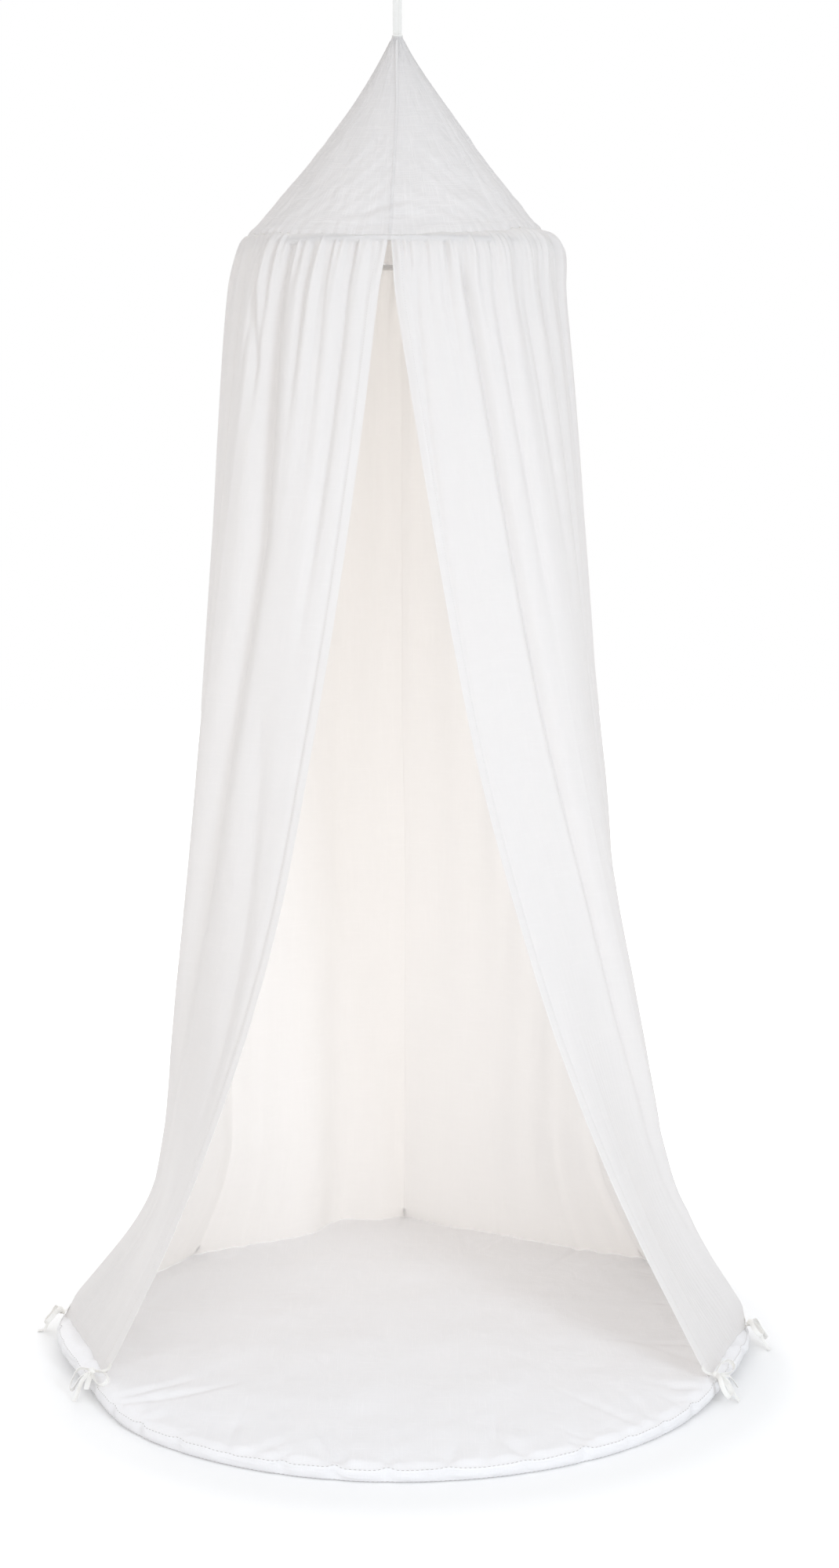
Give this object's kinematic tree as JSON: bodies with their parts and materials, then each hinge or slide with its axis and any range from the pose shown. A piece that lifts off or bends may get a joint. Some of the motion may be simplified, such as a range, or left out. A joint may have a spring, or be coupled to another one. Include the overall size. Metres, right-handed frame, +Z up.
{
  "type": "bed canopy",
  "caption": "Hanging bed or play canopy: a gathered cloth tent spread by a hoop, open at the front, its hem tied with bows to a round padded floor mat.",
  "frame": {"origin": "centre of the mat's underside, on the floor", "axes": "+Z up to the hanging loop, -Y out of the door, +X to the right of someone who looks in at the door"},
  "size_m": [1.4015, 1.3288, 2.5239],
  "materials": {
    "skirt_cotton": "matt plain-weave cotton, slightly sheer",
    "roof_cotton": "matt slubby cotton",
    "mat_cotton": "matt cotton cover, softly creased",
    "tape_cotton": "narrow cotton tape",
    "wadding": "polyester wadding",
    "hoop_plastic": "satin moulded tube"
  },
  "bodies": {
    "mat": {"mat_top_cover": "mat_cotton", "mat_side_band": "mat_cotton", "mat_base_cover": "mat_cotton", "mat_filling": "wadding", "mat_tape_front_left": "tape_cotton", "mat_tape_left": "tape_cotton", "mat_tape_back_left": "tape_cotton", "mat_tape_back": "tape_cotton", "mat_tape_back_right": "tape_cotton", "mat_tape_right": "tape_cotton", "mat_tape_front_right": "tape_cotton"},
    "canopy": {"hoop_tube": "hoop_plastic", "hoop_joiner": "hoop_plastic", "hoop_sleeve": "roof_cotton", "apex_tape_end": "tape_cotton", "roof_gore_front_left": "roof_cotton", "roof_gore_back_left": "roof_cotton", "roof_gore_back_right": "roof_cotton", "roof_gore_front_right": "roof_cotton", "skirt_left_front": "skirt_cotton", "skirt_left_side": "skirt_cotton", "skirt_back_left": "skirt_cotton", "skirt_back_right": "skirt_cotton", "skirt_right_side": "skirt_cotton", "skirt_right_front": "skirt_cotton", "bow_left": "tape_cotton", "bow_back_left": "tape_cotton", "bow_back": "tape_cotton", "bow_back_right": "tape_cotton", "bow_right": "tape_cotton"},
    "left_flap": {"left_door_curtain": "skirt_cotton", "left_door_hem": "skirt_cotton", "bow_front_left": "tape_cotton"},
    "right_flap": {"right_door_curtain": "skirt_cotton", "right_door_hem": "skirt_cotton", "bow_front_right": "tape_cotton"},
    "loop": {"hanging_loop": "tape_cotton"}
  },
  "joints": [
    {"name": "canopy_lift", "type": "slide", "parent": "mat", "child": "canopy", "axis": [0, 0, 1], "range_m": [0, 0.3]},
    {"name": "left_flap_fold", "type": "hinge", "parent": "canopy", "child": "left_flap", "pos_m": [-0.0261, -0.32973, 2.00451], "axis": [-0.2864, 0.1287, -0.9494], "range_deg": [0, 90]},
    {"name": "right_flap_fold", "type": "hinge", "parent": "canopy", "child": "right_flap", "pos_m": [-0.01366, -0.33048, 2.00454], "axis": [-0.3081, -0.1005, 0.946], "range_deg": [0, 90]},
    {"name": "loop_swing", "type": "hinge", "parent": "canopy", "child": "loop", "pos_m": [0, 0, 2.41442], "axis": [1, 0, 0], "range_deg": [-90, 90]}
  ]
}
